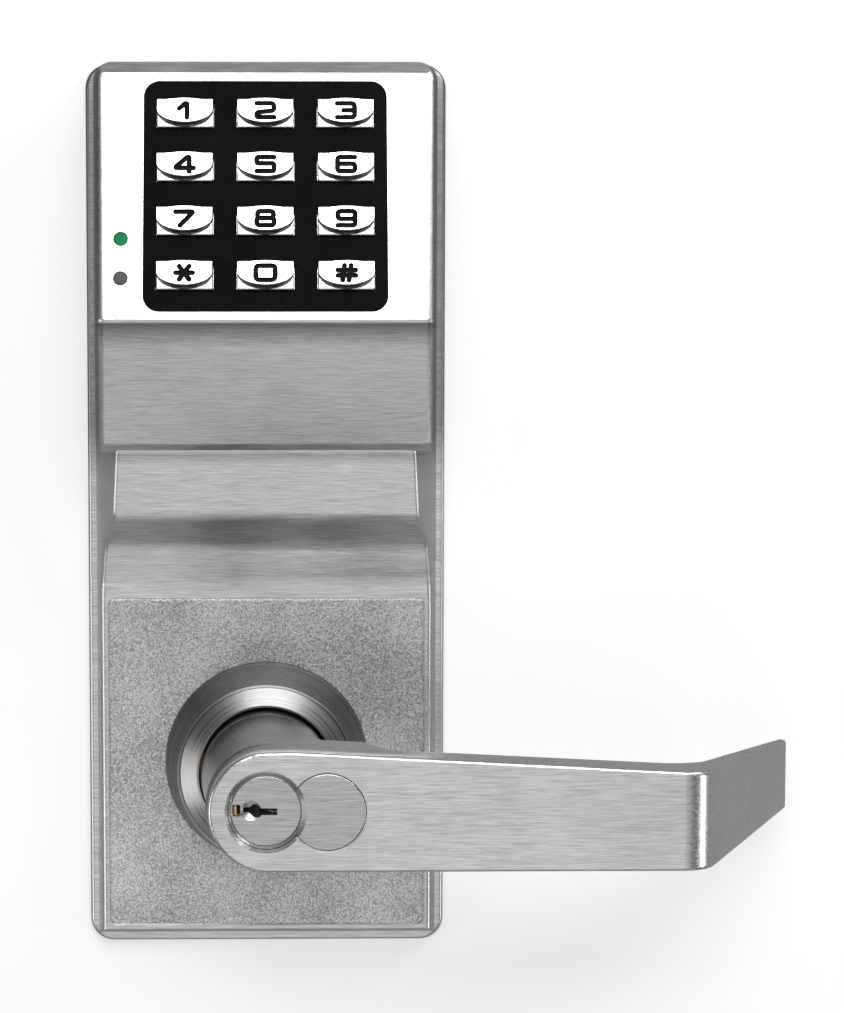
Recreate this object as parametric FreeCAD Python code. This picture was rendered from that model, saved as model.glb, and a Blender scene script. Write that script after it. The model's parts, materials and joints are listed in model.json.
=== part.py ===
"""Keypad lever lock, exterior trim unit, as separate pieces.

Millimetres. The origin is on the lever's axis in the plane of the door's face. X is to the
right seen from outside, +Y goes into the door and +Z is up, so a point's depth in front of
the door is d = -Y. Each function makes one piece or one kind of piece.
"""
import FreeCAD, Part
import math
import os

V = FreeCAD.Vector

# ---- driving dimensions ----
FLANGE_HALF = 38.1
FLANGE_BOTTOM = -39.8
FLANGE_TOP = 148.2
FLANGE_CORNER = 5.0
FLANGE_FRONT = 3.0
GASKET = 0.8
WALL = 2.4

BODY_HALF = 36.3
BLOCK_DRAFT = 3.5
LOWER_DRAFT = 16.0
BLOCK_TOP = 147.0
FACE_TOP = (24.1, 144.6)
FACE_LIP = (36.0, 94.5)
BLOCK_FOOT = (22.4, 68.9)
BLOCK_BOTTOM = 66.6
PLATFORM = 7.0
PLATFORM_BOTTOM = -36.8
RECESS = 0.4
PANEL_HALF = 33.9
PANEL_Z = (-35.5, 35.3)

COLLAR_BASE_R = 21.75
COLLAR_FRONT_R = 18.65
COLLAR_BORE_R = 14.15
COLLAR_FRONT = 21.0
SPIGOT_R = 16.6

SHANK_R = 13.5
SHANK_BORE_R = 10.0
LEVER_FRONT = 62.0
LEVER_CAP_R = 11.85
LEVER_CAP_X = 0.5
LEVER_TIP_X = 111.0
RUNNING = 0.05

LOBE_X = 11.92
CORE_R = 7.35
CORE_LOBE_R = 7.5
CORE_GAP = 0.12
CHAMFER_R = 8.03
LOBE_STEP = 0.42
CORE_FRONT = 61.9
PLUG_FRONT = 60.6
CORE_BACK = 39.9
PLUG_HEAD_R = 6.86
PLUG_R = 4.4
PIN_COUNT = 6
PIN_PITCH = 2.8
PIN_R = 1.1

WINDOW_HALF = 24.65
WINDOW_V = (-24.4, 23.6)
WINDOW_CORNER = 3.3
KEY_W = 11.35
KEY_H = 5.9
PAD_TOP = 2.5
KEY_PITCH_U = 16.25
KEY_PITCH_V = 11.2
KEY_ROW_V = -0.15
KEY_NAMES = ("1", "2", "3", "4", "5", "6", "7", "8", "9", "star", "0", "hash")
LIGHT_U = -29.1
LIGHT_V = (-9.36, -17.5)
LIGHT_R = 1.45

PLATE_BACK = 0.9
PLATE_FRONT = 2.4
PLATE_SCREWS = [(-29.5, -30.5), (29.5, -30.5), (-29.8, 139.0), (29.8, 139.0)]
BARREL_R = 26.4
BARREL_END = 16.0
POST_X = 20.0
POST_R = 3.4
POST_END = 22.0
UPPER_POST_Z = 122.0
CABLE_HOLE_Z = 103.0
THREAD_R = 2.1
SPINDLE_R = 9.5
SPINDLE_END = 38.0

# ---- the sloped keypad face: origin, and angle back from upright ----
FACE_TILT = math.degrees(math.atan2(FACE_LIP[0] - FACE_TOP[0], FACE_TOP[1] - FACE_LIP[1]))
FACE_Z = 120.0
FACE_D = FACE_LIP[0] - (FACE_Z - FACE_LIP[1]) * math.tan(math.radians(FACE_TILT))


# ---- helpers ----
def side(d, z):
    return V(0, -d, z)


def plan(x, d):
    return V(x, -d, 0)


def front(x, z):
    return V(x, 0, z)


def rounded_face(corners, place):
    """Face inside the corners (a, b, radius), each rounded with its radius."""
    arcs = []
    for i, (a, b, radius) in enumerate(corners):
        here = V(a, b, 0)
        back = V(corners[i - 1][0], corners[i - 1][1], 0) - here
        ahead_at = corners[(i + 1) % len(corners)]
        ahead = V(ahead_at[0], ahead_at[1], 0) - here
        back.normalize()
        ahead.normalize()
        half = back.getAngle(ahead) / 2
        bisector = back + ahead
        reach = radius / math.tan(half)
        start = here + back * reach
        end = here + ahead * reach
        middle = here
        if radius:
            bisector.normalize()
            middle = here + bisector * (radius / math.sin(half) - radius)
        arcs.append((start, middle, end, radius))
    edges = []
    for i, (start, middle, end, radius) in enumerate(arcs):
        if radius:
            points = [place(p.x, p.y) for p in (start, middle, end)]
            edges.append(Part.Arc(*points).toShape())
        following = arcs[(i + 1) % len(arcs)][0]
        if end.distanceToPoint(following) > 1e-6:
            edges.append(Part.makeLine(place(end.x, end.y), place(following.x, following.y)))
    return Part.Face(Part.Wire(edges))


def slab(half_x, z0, z1, corner, d0, d1):
    """Upright plate with rounded corners between depths d0 and d1."""
    corners = [(-half_x, z0, corner), (half_x, z0, corner), (half_x, z1, corner), (-half_x, z1, corner)]
    face = rounded_face(corners, front)
    face.translate(V(0, -d0, 0))
    return face.extrude(V(0, d0 - d1, 0))


def box(x0, x1, d0, d1, z0, z1):
    return Part.makeBox(x1 - x0, d1 - d0, z1 - z0, V(x0, -d1, z0))


def rod(radius, d0, d1, x=0.0, z=0.0):
    """Cylinder along the door's normal from depth d0 out to depth d1."""
    return Part.makeCylinder(radius, d1 - d0, V(x, -d0, z), V(0, -1, 0))


def tube(outer, inner, d0, d1, x=0.0, z=0.0):
    return rod(outer, d0, d1, x, z).cut(rod(inner, d0 - 1, d1 + 1, x, z))


def rod_x(radius, x0, x1, d, z=0.0):
    return Part.makeCylinder(radius, x1 - x0, V(x0, -d, z), V(1, 0, 0))


def rod_z(radius, z0, z1, d, x=0.0):
    return Part.makeCylinder(radius, z1 - z0, V(x, -d, z0), V(0, 0, 1))


def wedge(half_at_flange, draft, z0, z1, d0, d1):
    """Prism whose sides lean in with depth, for drafted castings."""
    lean = math.tan(math.radians(draft))
    low = half_at_flange - lean * (d0 - FLANGE_FRONT)
    high = half_at_flange - lean * (d1 - FLANGE_FRONT)
    face = rounded_face([(-low, d0, 0), (low, d0, 0), (high, d1, 0), (-high, d1, 0)], plan)
    face.translate(V(0, 0, z0))
    return face.extrude(V(0, 0, z1 - z0))


def round_edges(shape, radius, chosen):
    edges = [e for e in shape.Edges if chosen(e)]
    return shape.makeFillet(radius, edges)


def to_face(shape):
    """Move a shape drawn in the keypad face's own frame (u, v, out) to its place."""
    turned = shape.copy()
    turned.rotate(V(0, 0, 0), V(1, 0, 0), 90 - FACE_TILT)
    turned.translate(V(0, -FACE_D, FACE_Z))
    return turned


def face_plate(u0, u1, v0, v1, corner, w0, w1):
    """Plate with rounded corners in the keypad face's frame."""
    corners = [(u0, v0, corner), (u1, v0, corner), (u1, v1, corner), (u0, v1, corner)]
    face = rounded_face(corners, lambda u, v: V(u, v, w0))
    return face.extrude(V(0, 0, w1 - w0))


def face_rod(radius, u, v, w0, w1):
    return Part.makeCylinder(radius, w1 - w0, V(u, v, w0), V(0, 0, 1))


def key_places():
    """Name and face position of each key, from the top left."""
    for i, name in enumerate(KEY_NAMES):
        row, column = divmod(i, 3)
        yield name, (column - 1) * KEY_PITCH_U, KEY_ROW_V + (1.5 - row) * KEY_PITCH_V


# ---- housing ----
def block_profile(inset):
    """Side profile of the keypad block, set in from the outside all round."""
    corners = [
        (-10, BLOCK_BOTTOM, 0), (19.6, BLOCK_BOTTOM, 0), (BLOCK_FOOT[0], BLOCK_FOOT[1], 0),
        (FACE_LIP[0], FACE_LIP[1], 0), (FACE_TOP[0], FACE_TOP[1], 0),
        (22.3, BLOCK_TOP, 0), (-10, BLOCK_TOP, 0)]
    if not inset:
        radii = (0, 0.8, 1.4, 1.0, 0, 0, 0)
        return rounded_face([(d, z, r) for (d, z, _), r in zip(corners, radii)], side)
    return rounded_face(corners, side).makeOffset2D(-inset)


def lower_profile(inset):
    """Side profile of the waist and the flat platform below it."""
    corners = [
        (-10, 76, 0), (22.6, 76, 0), (17.8, 53.0, 6.0), (10.6, 47.6, 7.0), (PLATFORM, 37.6, 14.0),
        (PLATFORM, PLATFORM_BOTTOM, 0), (-10, -41.5, 0)]
    if not inset:
        return rounded_face(corners, side)
    return rounded_face([(d, z, 0) for d, z, _ in corners], side).makeOffset2D(-inset)


def drawn_out(profile, cutter):
    """Extrude a side profile across X and trim its sides with a drafted wedge."""
    face = profile.copy()
    face.translate(V(-50, 0, 0))
    return face.extrude(V(100, 0, 0)).common(cutter)


def keypad_block(inset):
    half = BODY_HALF - inset
    return drawn_out(block_profile(inset), wedge(half, BLOCK_DRAFT, 60, 150, -12, 40))


def lower_body(inset):
    half = BODY_HALF - inset
    return drawn_out(lower_profile(inset), wedge(half, LOWER_DRAFT, -45, 80, -12, 26))


def on_draft(edge, half_at_flange, draft):
    """True where an edge lies along a drafted side, in front of the flange."""
    lean = math.tan(math.radians(draft))
    spots = [v.Point for v in edge.Vertexes]
    gaps = [abs(abs(p.x) - (half_at_flange - lean * (-p.y - FLANGE_FRONT))) for p in spots]
    return max(gaps) < 0.02


def housing_skin():
    """The casting's outside, before it is hollowed."""
    block = keypad_block(0)
    block = round_edges(block, 4.0, lambda e: len(e.Vertexes) == 2 and all(
        abs(v.Z - BLOCK_TOP) < 0.01 and abs(v.X) > 30 for v in e.Vertexes) and abs(
        e.Vertexes[0].Y - e.Vertexes[1].Y) > 10)
    block = round_edges(block, 2.2, lambda e: on_draft(e, BODY_HALF, BLOCK_DRAFT) and all(
        v.Z > BLOCK_BOTTOM + 0.1 and v.Y < -20 and v.Z < BLOCK_TOP - 0.5 for v in e.Vertexes))
    lower = lower_body(0)
    lower = round_edges(lower, 1.2, lambda e: on_draft(e, BODY_HALF, LOWER_DRAFT) and all(
        v.Z < 74 and v.Y < -PLATFORM + 0.1 for v in e.Vertexes))
    flange = slab(FLANGE_HALF, FLANGE_BOTTOM, FLANGE_TOP, FLANGE_CORNER, GASKET, FLANGE_FRONT)
    flange = round_edges(flange, 0.9, lambda e: all(abs(v.Y + FLANGE_FRONT) < 0.01 for v in e.Vertexes))
    ahead = box(-60, 60, GASKET, 60, -60, 160)
    return flange.fuse([block.common(ahead), lower.common(ahead)]).removeSplitter()


def front_housing():
    shell = housing_skin()
    hollow = keypad_block(WALL).fuse(lower_body(WALL))
    shell = shell.cut(hollow)
    bosses = [rod(3.2, PLATE_FRONT, 13, x, z) for x, z in PLATE_SCREWS]
    bosses += [box(-34, 34, PLATE_FRONT, 13, 141.0, 146.0).cut(box(-29.8, 29.8, 0, 20, 130, 150))]
    outside = housing_skin()
    shell = shell.fuse([boss.common(outside) for boss in bosses])
    panel = slab(PANEL_HALF, PANEL_Z[0], PANEL_Z[1], 1.7, PLATFORM - RECESS, PLATFORM + 1)
    cuts = [panel, rod(SPIGOT_R + 0.1, 0, 10)]
    cuts.append(to_face(face_plate(
        -WINDOW_HALF, WINDOW_HALF, WINDOW_V[0], WINDOW_V[1], WINDOW_CORNER, -6, 3)))
    cuts += [to_face(face_rod(LIGHT_R + 0.05, LIGHT_U, v, -6, 3)) for v in LIGHT_V]
    cuts += [rod(1.25, 0, 5.6 if z < 0 else 12.0, x, z) for x, z in PLATE_SCREWS]
    return shell.cut(cuts)


def door_gasket():
    outer = slab(FLANGE_HALF - 0.3, FLANGE_BOTTOM + 0.3, FLANGE_TOP - 0.3, FLANGE_CORNER - 0.3, 0, GASKET)
    inner = slab(34.5, FLANGE_BOTTOM + 3.6, FLANGE_TOP - 3.6, 2.5, -1, GASKET + 1)
    return outer.cut(inner)


# ---- rear plate and its fasteners ----
def rear_plate():
    plate = slab(33.2, -33.8, 143.0, 3.0, PLATE_BACK, PLATE_FRONT)
    cuts = [rod(17.6, 0, 4), rod(6.0, 0, 4, 0, CABLE_HOLE_Z), rod(POST_R, 0, 4, 0, UPPER_POST_Z)]
    cuts += [rod(POST_R, 0, 4, x, 0) for x in (-POST_X, POST_X)]
    cuts += [rod(1.65, 0, 4, x, z) for x, z in PLATE_SCREWS]
    return plate.cut(cuts)


def pan_screw(shaft_r, head_r, length, x, z, head_d, head_h=1.0):
    """Screw driven from behind, with its head towards the door and a cross slot."""
    body = rod(shaft_r, head_d, head_d + length, x, z)
    head = rod(head_r, head_d - head_h, head_d, x, z)
    reach = head_r * 0.6
    slot = box(x - reach, x + reach, head_d - head_h - 1, head_d - head_h * 0.5, z - 0.25, z + 0.25)
    return body.fuse(head).removeSplitter().cut(slot)


def rear_plate_screws():
    lengths = [4.4 if z < 0 else 10.0 for x, z in PLATE_SCREWS]
    return Part.makeCompound([
        pan_screw(1.2, 2.4, length, x, z, PLATE_BACK, 0.8)
        for (x, z), length in zip(PLATE_SCREWS, lengths)])


def threaded_post(x, z, depth):
    post = rod(POST_R, -POST_END, PLATE_FRONT, x, z)
    return post.cut(rod(THREAD_R, -POST_END - 1, -POST_END + depth, x, z))


def through_bolt_posts():
    return Part.makeCompound([threaded_post(x, 0, 18.0) for x in (-POST_X, POST_X)])


def upper_bolt_post():
    return threaded_post(0, UPPER_POST_Z, 18.0)


def cable_grommet():
    """Rubber ring that lines the wiring hole in the rear plate."""
    body = tube(6.0, 4.4, PLATE_BACK, PLATE_FRONT, 0, CABLE_HOLE_Z)
    rims = [tube(7.2, 4.4, PLATE_FRONT, PLATE_FRONT + 1.0, 0, CABLE_HOLE_Z),
            tube(7.2, 4.4, PLATE_BACK - 0.9, PLATE_BACK, 0, CABLE_HOLE_Z)]
    return body.fuse(rims).removeSplitter()


def chassis_barrel():
    """Cup that centres the unit in the door's bore and carries the spindle."""
    cup = rod(BARREL_R, -BARREL_END, PLATE_BACK)
    cup = cup.cut(rod(BARREL_R - 2.0, -BARREL_END + 2.0, PLATE_BACK + 1))
    cuts = [rod(SPINDLE_R + RUNNING, -BARREL_END - 1, 0)]
    cuts += [rod(POST_R, -BARREL_END - 1, 0, x, 0) for x in (-POST_X, POST_X)]
    return cup.cut(cuts)


def return_spring():
    """Torsion coil round the lever's cam, three and a half turns."""
    helix = Part.makeHelix(2.1, 7.35, 15.4)
    profile = Part.Wire(Part.makeCircle(0.75, V(15.4, 0, 0), V(0, 1, 0)))
    coil = Part.Wire(helix.Edges).makePipeShell([profile], True, True)
    coil.rotate(V(0, 0, 0), V(1, 0, 0), -90)
    coil.translate(V(0, 1.9, 0))
    return coil


# ---- collar and bearing ----
def rose_collar():
    base = PLATFORM - RECESS
    outline = [(COLLAR_BORE_R, 4.6, 0), (SPIGOT_R, 4.6, 0), (SPIGOT_R, base, 0), (COLLAR_BASE_R, base, 0.4),
               (COLLAR_FRONT_R, COLLAR_FRONT - 0.35, 0.1), (COLLAR_FRONT_R - 0.5, COLLAR_FRONT - 0.2, 0),
               (COLLAR_FRONT_R - 0.62, COLLAR_FRONT - 0.4, 0), (COLLAR_BORE_R + 0.4, COLLAR_FRONT + 1.2, 0.2),
               (COLLAR_BORE_R, COLLAR_FRONT + 1.2, 0)]
    return rounded_face(outline, plan).revolve(V(0, 0, 0), V(0, 1, 0), 360)


def collar_nut():
    ring = tube(20.0, SPIGOT_R + 0.1, 2.9, 4.6)
    return ring.cut(box(-4.2, 4.2, 2, 6, 14, 22))


def lever_bushing():
    return tube(COLLAR_BORE_R, SHANK_R + RUNNING, 5.2, 13.0)


# ---- lever ----
def lever_outline():
    """Front outline of the lever, from square behind the axis to the tapered tip."""
    half = LEVER_CAP_R
    return [
        (LEVER_CAP_X, -half, 0), (86.0, -half, 40.0), (LEVER_TIP_X + 1, -9.7, 1.5),
        (LEVER_TIP_X + 1, 4.9, 1.0), (84.0, 7.7, 20.0), (6.0, half, 60.0), (LEVER_CAP_X, half, 0)]


def lever_plan():
    """The lever seen from above: bar, bend of about 65 degrees and return to the door."""
    return [
        (LEVER_CAP_X, LEVER_FRONT, 0), (85.9, LEVER_FRONT, 7.3), (LEVER_TIP_X, 10.2, 0.7),
        (LEVER_TIP_X - 1.8, 9.4, 0.4), (83.6, 53.2, 12.0), (24.0, 54.0, 4.0), (20.0, 47.0, 0),
        (LEVER_CAP_X, 47.0, 0)]


def double_round(r0, reach, r1, d):
    """Wire round two circles of radius r0 and r1, reach apart, with straight flanks."""
    cosine = (r0 - r1) / reach
    sine = math.sqrt(1 - cosine * cosine)
    low0, high0 = V(r0 * cosine, -d, -r0 * sine), V(r0 * cosine, -d, r0 * sine)
    low1, high1 = V(reach + r1 * cosine, -d, -r1 * sine), V(reach + r1 * cosine, -d, r1 * sine)
    return Part.Wire([
        Part.Arc(high0, V(-r0, -d, 0), low0).toShape(), Part.makeLine(low0, low1),
        Part.Arc(low1, V(reach + r1, -d, 0), high1).toShape(), Part.makeLine(high1, high0)])


def lever_neck():
    """Neck that swells from the round shank to hold the core's pin lobe."""
    sections = [
        (13.4, 0.6, 13.2, 25.0), (12.9, 5.6, 10.6, 32.5), (12.3, 11.4, 8.9, 40.0),
        (11.9, 12.0, 8.8, 54.0)]
    return Part.makeLoft([double_round(*row) for row in sections], True, False)


def figure_eight(radius, lobe_radius, d0, d1):
    return rod(radius, d0, d1).fuse(rod(lobe_radius, d0, d1, LOBE_X)).removeSplitter()


def core_chamfer():
    """Cone that opens the lever's face and the core round the plug."""
    slope = (CHAMFER_R - PLUG_HEAD_R - RUNNING) / (LEVER_FRONT - PLUG_FRONT)
    return Part.makeCone(PLUG_HEAD_R + RUNNING, CHAMFER_R + slope, LEVER_FRONT - PLUG_FRONT + 1.0,
                         V(0, -PLUG_FRONT, 0), V(0, -1, 0))


def lever():
    outline = rounded_face(lever_outline(), front)
    outline.translate(V(0, -5, 0))
    swept = rounded_face(lever_plan(), plan)
    swept.translate(V(0, 0, -20))
    blade = swept.extrude(V(0, 0, 40)).common(outline.extrude(V(0, -70, 0)))
    cap = rod(LEVER_CAP_R, 47.0, LEVER_FRONT, LEVER_CAP_X)
    solid = blade.fuse([cap, lever_neck(), rod(SHANK_R, -1.0, 26.0)]).removeSplitter()
    solid = round_edges(solid, 0.8, lambda e: all(
        abs(v.Y + LEVER_FRONT) < 0.01 for v in e.Vertexes))
    cuts = [rod(SHANK_BORE_R, -2, 36.0),
            figure_eight(CORE_R + CORE_GAP, CORE_LOBE_R + CORE_GAP, CORE_BACK - 0.2, 70),
            tube(SHANK_R + 1, 12.2, 2.7, 4.3), tube(SHANK_R + 1, 12.8, 1.2, 2.2),
            rod_z(0.75, 8, 14, 3.5), rod(5.0, 30, 45), core_chamfer(),
            rod(CORE_LOBE_R + LOBE_STEP, LEVER_FRONT - 0.35, 70, LOBE_X),
            rod(9.9, 49.4, 55.6).common(box(-8, 4, 49.4, 55.6, -12, -3))]
    return solid.cut(cuts)


def lever_snap_ring():
    return tube(15.4, 12.8, 1.2, 2.2).cut(box(-3, 3, 0, 4, -20, 0))


def spring_cam():
    """Sleeve on the shank's end with the arm that winds the return spring."""
    sleeve = tube(13.2, 10.3, -11.4, -1.0)
    arm = box(-2.4, 2.4, -11.4, -9.6, 12, 16.0)
    return sleeve.fuse(arm).removeSplitter()


# ---- interchangeable core ----
def pin_depths():
    first = PLUG_FRONT - 2.6 - PIN_R
    return [first - PIN_PITCH * i for i in range(PIN_COUNT)]


def core_shell():
    body = figure_eight(CORE_R, CORE_LOBE_R, CORE_BACK, CORE_FRONT)
    body = round_edges(body, 0.25, lambda e: all(abs(v.Y + CORE_FRONT) < 0.01 for v in e.Vertexes))
    cuts = [rod(PLUG_R + RUNNING, CORE_BACK - 1, CORE_FRONT + 1),
            rod(PLUG_HEAD_R + RUNNING, PLUG_FRONT - 1.3, CORE_FRONT + 1), core_chamfer(),
            rod(5.6 + RUNNING, CORE_BACK + 1.2, PLUG_FRONT - 2.0),
            box(-5.6, 2.4, 49.6, 55.4, -12, -3)]
    cuts += [rod_x(PIN_R + 0.1, 4.0, 17.8, d) for d in pin_depths()]
    return body.cut(cuts)


def keyway():
    """Warded slot that lies on its side."""
    outline = [(-8.0, -1.0, 0), (-5.0, -1.0, 0), (-4.4, -0.3, 0), (-3.4, -0.3, 0), (-2.4, -1.2, 0),
               (-1.2, -1.2, 0), (-0.8, -0.75, 0), (2.2, -0.75, 0), (2.2, 0.55, 0), (-0.9, 0.55, 0),
               (-1.5, 1.3, 0), (-2.5, 1.3, 0), (-3.1, 0.7, 0), (-4.4, 0.7, 0), (-5.2, 1.3, 0), (-8.0, 1.3, 0)]
    face = rounded_face(outline, front)
    face.translate(V(0, -CORE_BACK + 1, 0))
    return face.extrude(V(0, CORE_BACK - CORE_FRONT - 4, 0))


def core_plug():
    head = rod(PLUG_HEAD_R, PLUG_FRONT - 1.2, PLUG_FRONT)
    body = rod(PLUG_R, CORE_BACK, PLUG_FRONT - 1.2)
    plug = head.fuse(body).removeSplitter()
    plug = round_edges(plug, 0.2, lambda e: all(abs(v.Y + PLUG_FRONT) < 0.01 for v in e.Vertexes))
    dimple = Part.makeCone(0.3, 2.15, 1.0, V(-2.9, -PLUG_FRONT + 0.9, 0.1), V(0, -1, 0))
    return plug.cut([keyway(), dimple] + [rod_x(PIN_R + 0.1, 0.5, 6, d) for d in pin_depths()])


def pin_row(radius, x0, x1):
    return Part.makeCompound([rod_x(radius, x0, x1, d) for d in pin_depths()])


def core_pin_springs():
    """One small coil in each pin chamber."""
    coils = []
    for d in pin_depths():
        helix = Part.makeHelix(0.95, 5.7, 0.75)
        profile = Part.Wire(Part.makeCircle(0.18, V(0.75, 0, 0), V(0, 1, 0)))
        coil = Part.Wire(helix.Edges).makePipeShell([profile], True, True)
        coil.rotate(V(0, 0, 0), V(0, 1, 0), 90)
        coil.translate(V(9.45, -d, 0))
        coils.append(coil)
    return Part.makeCompound(coils)


def core_control_sleeve():
    sleeve = tube(5.6, PLUG_R + RUNNING, CORE_BACK + 1.3, PLUG_FRONT - 2.1)
    lug = box(-1.5, 1.5, 50.2, 54.8, -9.2, -5.0).cut(rod(PLUG_R + RUNNING, 40, 60))
    sleeve = sleeve.fuse(lug).removeSplitter()
    return sleeve.cut([rod_x(PIN_R + 0.25, 3, 8, d) for d in pin_depths()])


def core_throw_member():
    """Disc and flat tail that carry the plug's turn to the spindle."""
    disc = rod(4.1, 36.4, CORE_BACK)
    tail = box(-3.8, 3.8, -3.0, 36.4, -1.0, 1.0)
    return disc.fuse(tail).removeSplitter()


# ---- spindle and clutch ----
def spindle():
    body = rod(SPINDLE_R, -SPINDLE_END, 4.6)
    body = body.fuse(rod(11.4, -13.7, -12.1)).removeSplitter()
    cuts = [rod(5.2, -12, 6), tube(12, 8.2, 2.4, 4.6),
            tube(12, 8.6, -17.4, -16.3),
            box(-12, 12, -SPINDLE_END - 1, -26.0, 1.2, 12)]
    return body.cut(cuts)


def spindle_snap_ring():
    return tube(11.6, 8.6, -17.3, -16.3).cut(box(-2.5, 2.5, -18, -15, -14, 0))


def clutch_pin():
    return rod_z(0.65, 10.2, 12.0, 3.5)


def locking_slide():
    strip = box(-3.4, 3.4, 2.9, 4.1, 24.0, 60.0)
    tip = box(-1.6, 1.6, 2.9, 4.1, 14.1, 24.0)
    nut = box(-3.4, 3.4, 4.1, 10.2, 54.0, 60.0)
    body = strip.fuse([tip, nut]).removeSplitter()
    return body.cut(rod_z(1.5 + RUNNING, 50, 62, 7.2))


def lead_screw():
    shaft = rod_z(1.5, 51.5, 65.6, 7.2)
    return shaft.fuse(rod_z(2.3, 63.6, 65.0, 7.2)).removeSplitter()


def gear_motor():
    can = box(-6.0, 6.0, 2.6, 12.4, 74.0, 92.0)
    can = round_edges(can, 2.5, lambda e: abs(e.Vertexes[0].Z - e.Vertexes[-1].Z) > 10)
    gearbox = box(-6.0, 6.0, 2.6, 12.4, 66.0, 74.0)
    return can.fuse([gearbox, rod_z(2.5, 92.0, 93.0, 7.5)]).removeSplitter()


def motor_bracket():
    strap = box(-7.0, 7.0, PLATE_FRONT, 13.4, 76.0, 86.0).cut(box(-6.05, 6.05, 0, 12.45, 70, 90))
    feet = box(-13.0, 13.0, PLATE_FRONT, PLATE_FRONT + 0.9, 76.0, 86.0).cut(box(-6.05, 6.05, 0, 12, 70, 90))
    holes = [rod(1.3, 0, 6, x, 81.0) for x in (-10.2, 10.2)]
    return strap.fuse(feet).removeSplitter().cut(holes)


def motor_bracket_screws():
    """Two screws driven from the front into the rear plate."""
    made = []
    for x in (-10.2, 10.2):
        screw = rod(1.2, PLATE_FRONT + 0.05, PLATE_FRONT + 0.9, x, 81.0)
        head = rod(2.2, PLATE_FRONT + 0.9, PLATE_FRONT + 2.1, x, 81.0)
        slot = box(x - 1.4, x + 1.4, PLATE_FRONT + 1.5, PLATE_FRONT + 3, 80.75, 81.25)
        made.append(screw.fuse(head).removeSplitter().cut(slot))
    return Part.makeCompound(made)


# ---- keypad, drawn in the face's frame ----
def keypad_bezel():
    gap = 0.1
    plate = face_plate(-WINDOW_HALF + gap, WINDOW_HALF - gap, WINDOW_V[0] + gap, WINDOW_V[1] - gap,
                       WINDOW_CORNER - gap, -2.6, -0.3)
    flange = face_plate(-26.9, 26.9, WINDOW_V[0] - 1.0, WINDOW_V[1] + 1.5, 3.0, -3.8, -2.6)
    flange = flange.cut(face_plate(-23.1, 23.1, -21.4, 21.8, 1.0, -4, -2.6))
    bosses = [face_rod(1.5, u, v, -6.0, -3.8) for u, v in board_screw_places()]
    body = plate.fuse([flange] + bosses).removeSplitter()
    cuts = []
    for _, u, v in key_places():
        half_w = KEY_W / 2 + 0.15
        half_h = KEY_H / 2 + 0.15
        cuts.append(face_plate(u - half_w, u + half_w, v - half_h, v + half_h, 0.7, -4, 1))
    cuts += [face_rod(0.7, u, v, -6.5, -2.7) for u, v in board_screw_places()]
    return to_face(body.cut(cuts))


def board_screw_places():
    return [(u, v) for u in (-25.2, 25.2) for v in (-22.6, 22.6)]


def keypad_membrane():
    sheet = face_plate(-23.2, 23.2, -21.2, 21.6, 1.0, -6.0, -5.4)
    domes = [Part.makeCone(2.7, 1.7, 1.1, V(u, v, -5.4), V(0, 0, 1)) for _, u, v in key_places()]
    return to_face(sheet.fuse(domes).removeSplitter())


def keypad_board():
    board = face_plate(-31.0, 28.4, -24.3, 24.6, 1.0, -7.6, -6.0)
    return to_face(board.cut([face_rod(0.9, u, v, -8, -5) for u, v in board_screw_places()]))


def keypad_board_screws():
    made = []
    for u, v in board_screw_places():
        screw = face_rod(0.7, u, v, -7.6, -3.2).fuse(face_rod(1.5, u, v, -8.6, -7.6)).removeSplitter()
        slot = Part.makeBox(2.2, 0.4, 0.6, V(u - 1.1, v - 0.2, -8.7))
        made.append(to_face(screw.cut(slot)))
    return Part.makeCompound(made)


def status_light(v):
    """Light pipe with a low domed end flush with the face."""
    pipe = face_rod(LIGHT_R, LIGHT_U, v, -4.9, 0.1)
    rim = [e for e in pipe.Edges if len(e.Vertexes) == 1 and abs(e.Vertexes[0].Z - 0.1) < 0.01]
    return to_face(pipe.makeFillet(0.35, rim))


def status_leds():
    return to_face(Part.makeCompound([
        Part.makeBox(1.6, 1.6, 0.9, V(LIGHT_U - 0.8, v - 0.8, -6.0)) for v in LIGHT_V]))


def buzzer():
    return to_face(face_rod(4.5, 14.0, 8.0, -10.6, -7.6))


def harness_socket():
    body = Part.makeBox(12.0, 5.0, 4.0, V(-18.0, -12.0, -11.6))
    return to_face(body.cut(Part.makeBox(10.4, 3.4, 3.2, V(-17.2, -11.2, -12.0))))


def key_body(u, v):
    """Key with retaining rim, square base and raised D-shaped pad."""
    half_w = KEY_W / 2
    half_h = KEY_H / 2
    base = face_plate(u - half_w, u + half_w, v - half_h, v + half_h, 0.55, -3.4, 0.7)
    rim_w = half_w + 0.7
    rim_h = half_h + 0.7
    rim = face_plate(u - rim_w, u + rim_w, v - rim_h, v + rim_h, 0.8, -3.4, -2.8)
    wide = half_w - 0.05
    corners = [V(u + x, v + y, 0.7) for x, y in (
        (-wide, half_h - 0.4), (wide, half_h - 0.4), (wide, -0.1), (-wide, -0.1))]
    edges = [
        Part.Arc(corners[0], V(u, v + half_h - 0.05, 0.7), corners[1]).toShape(),
        Part.makeLine(corners[1], corners[2]),
        Part.Arc(corners[2], V(u, v - half_h + 0.5, 0.7), corners[3]).toShape(),
        Part.makeLine(corners[3], corners[0])]
    pad = Part.Face(Part.Wire(edges)).extrude(V(0, 0, PAD_TOP - 0.7))
    return to_face(base.fuse([rim, pad]).removeSplitter())


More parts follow.
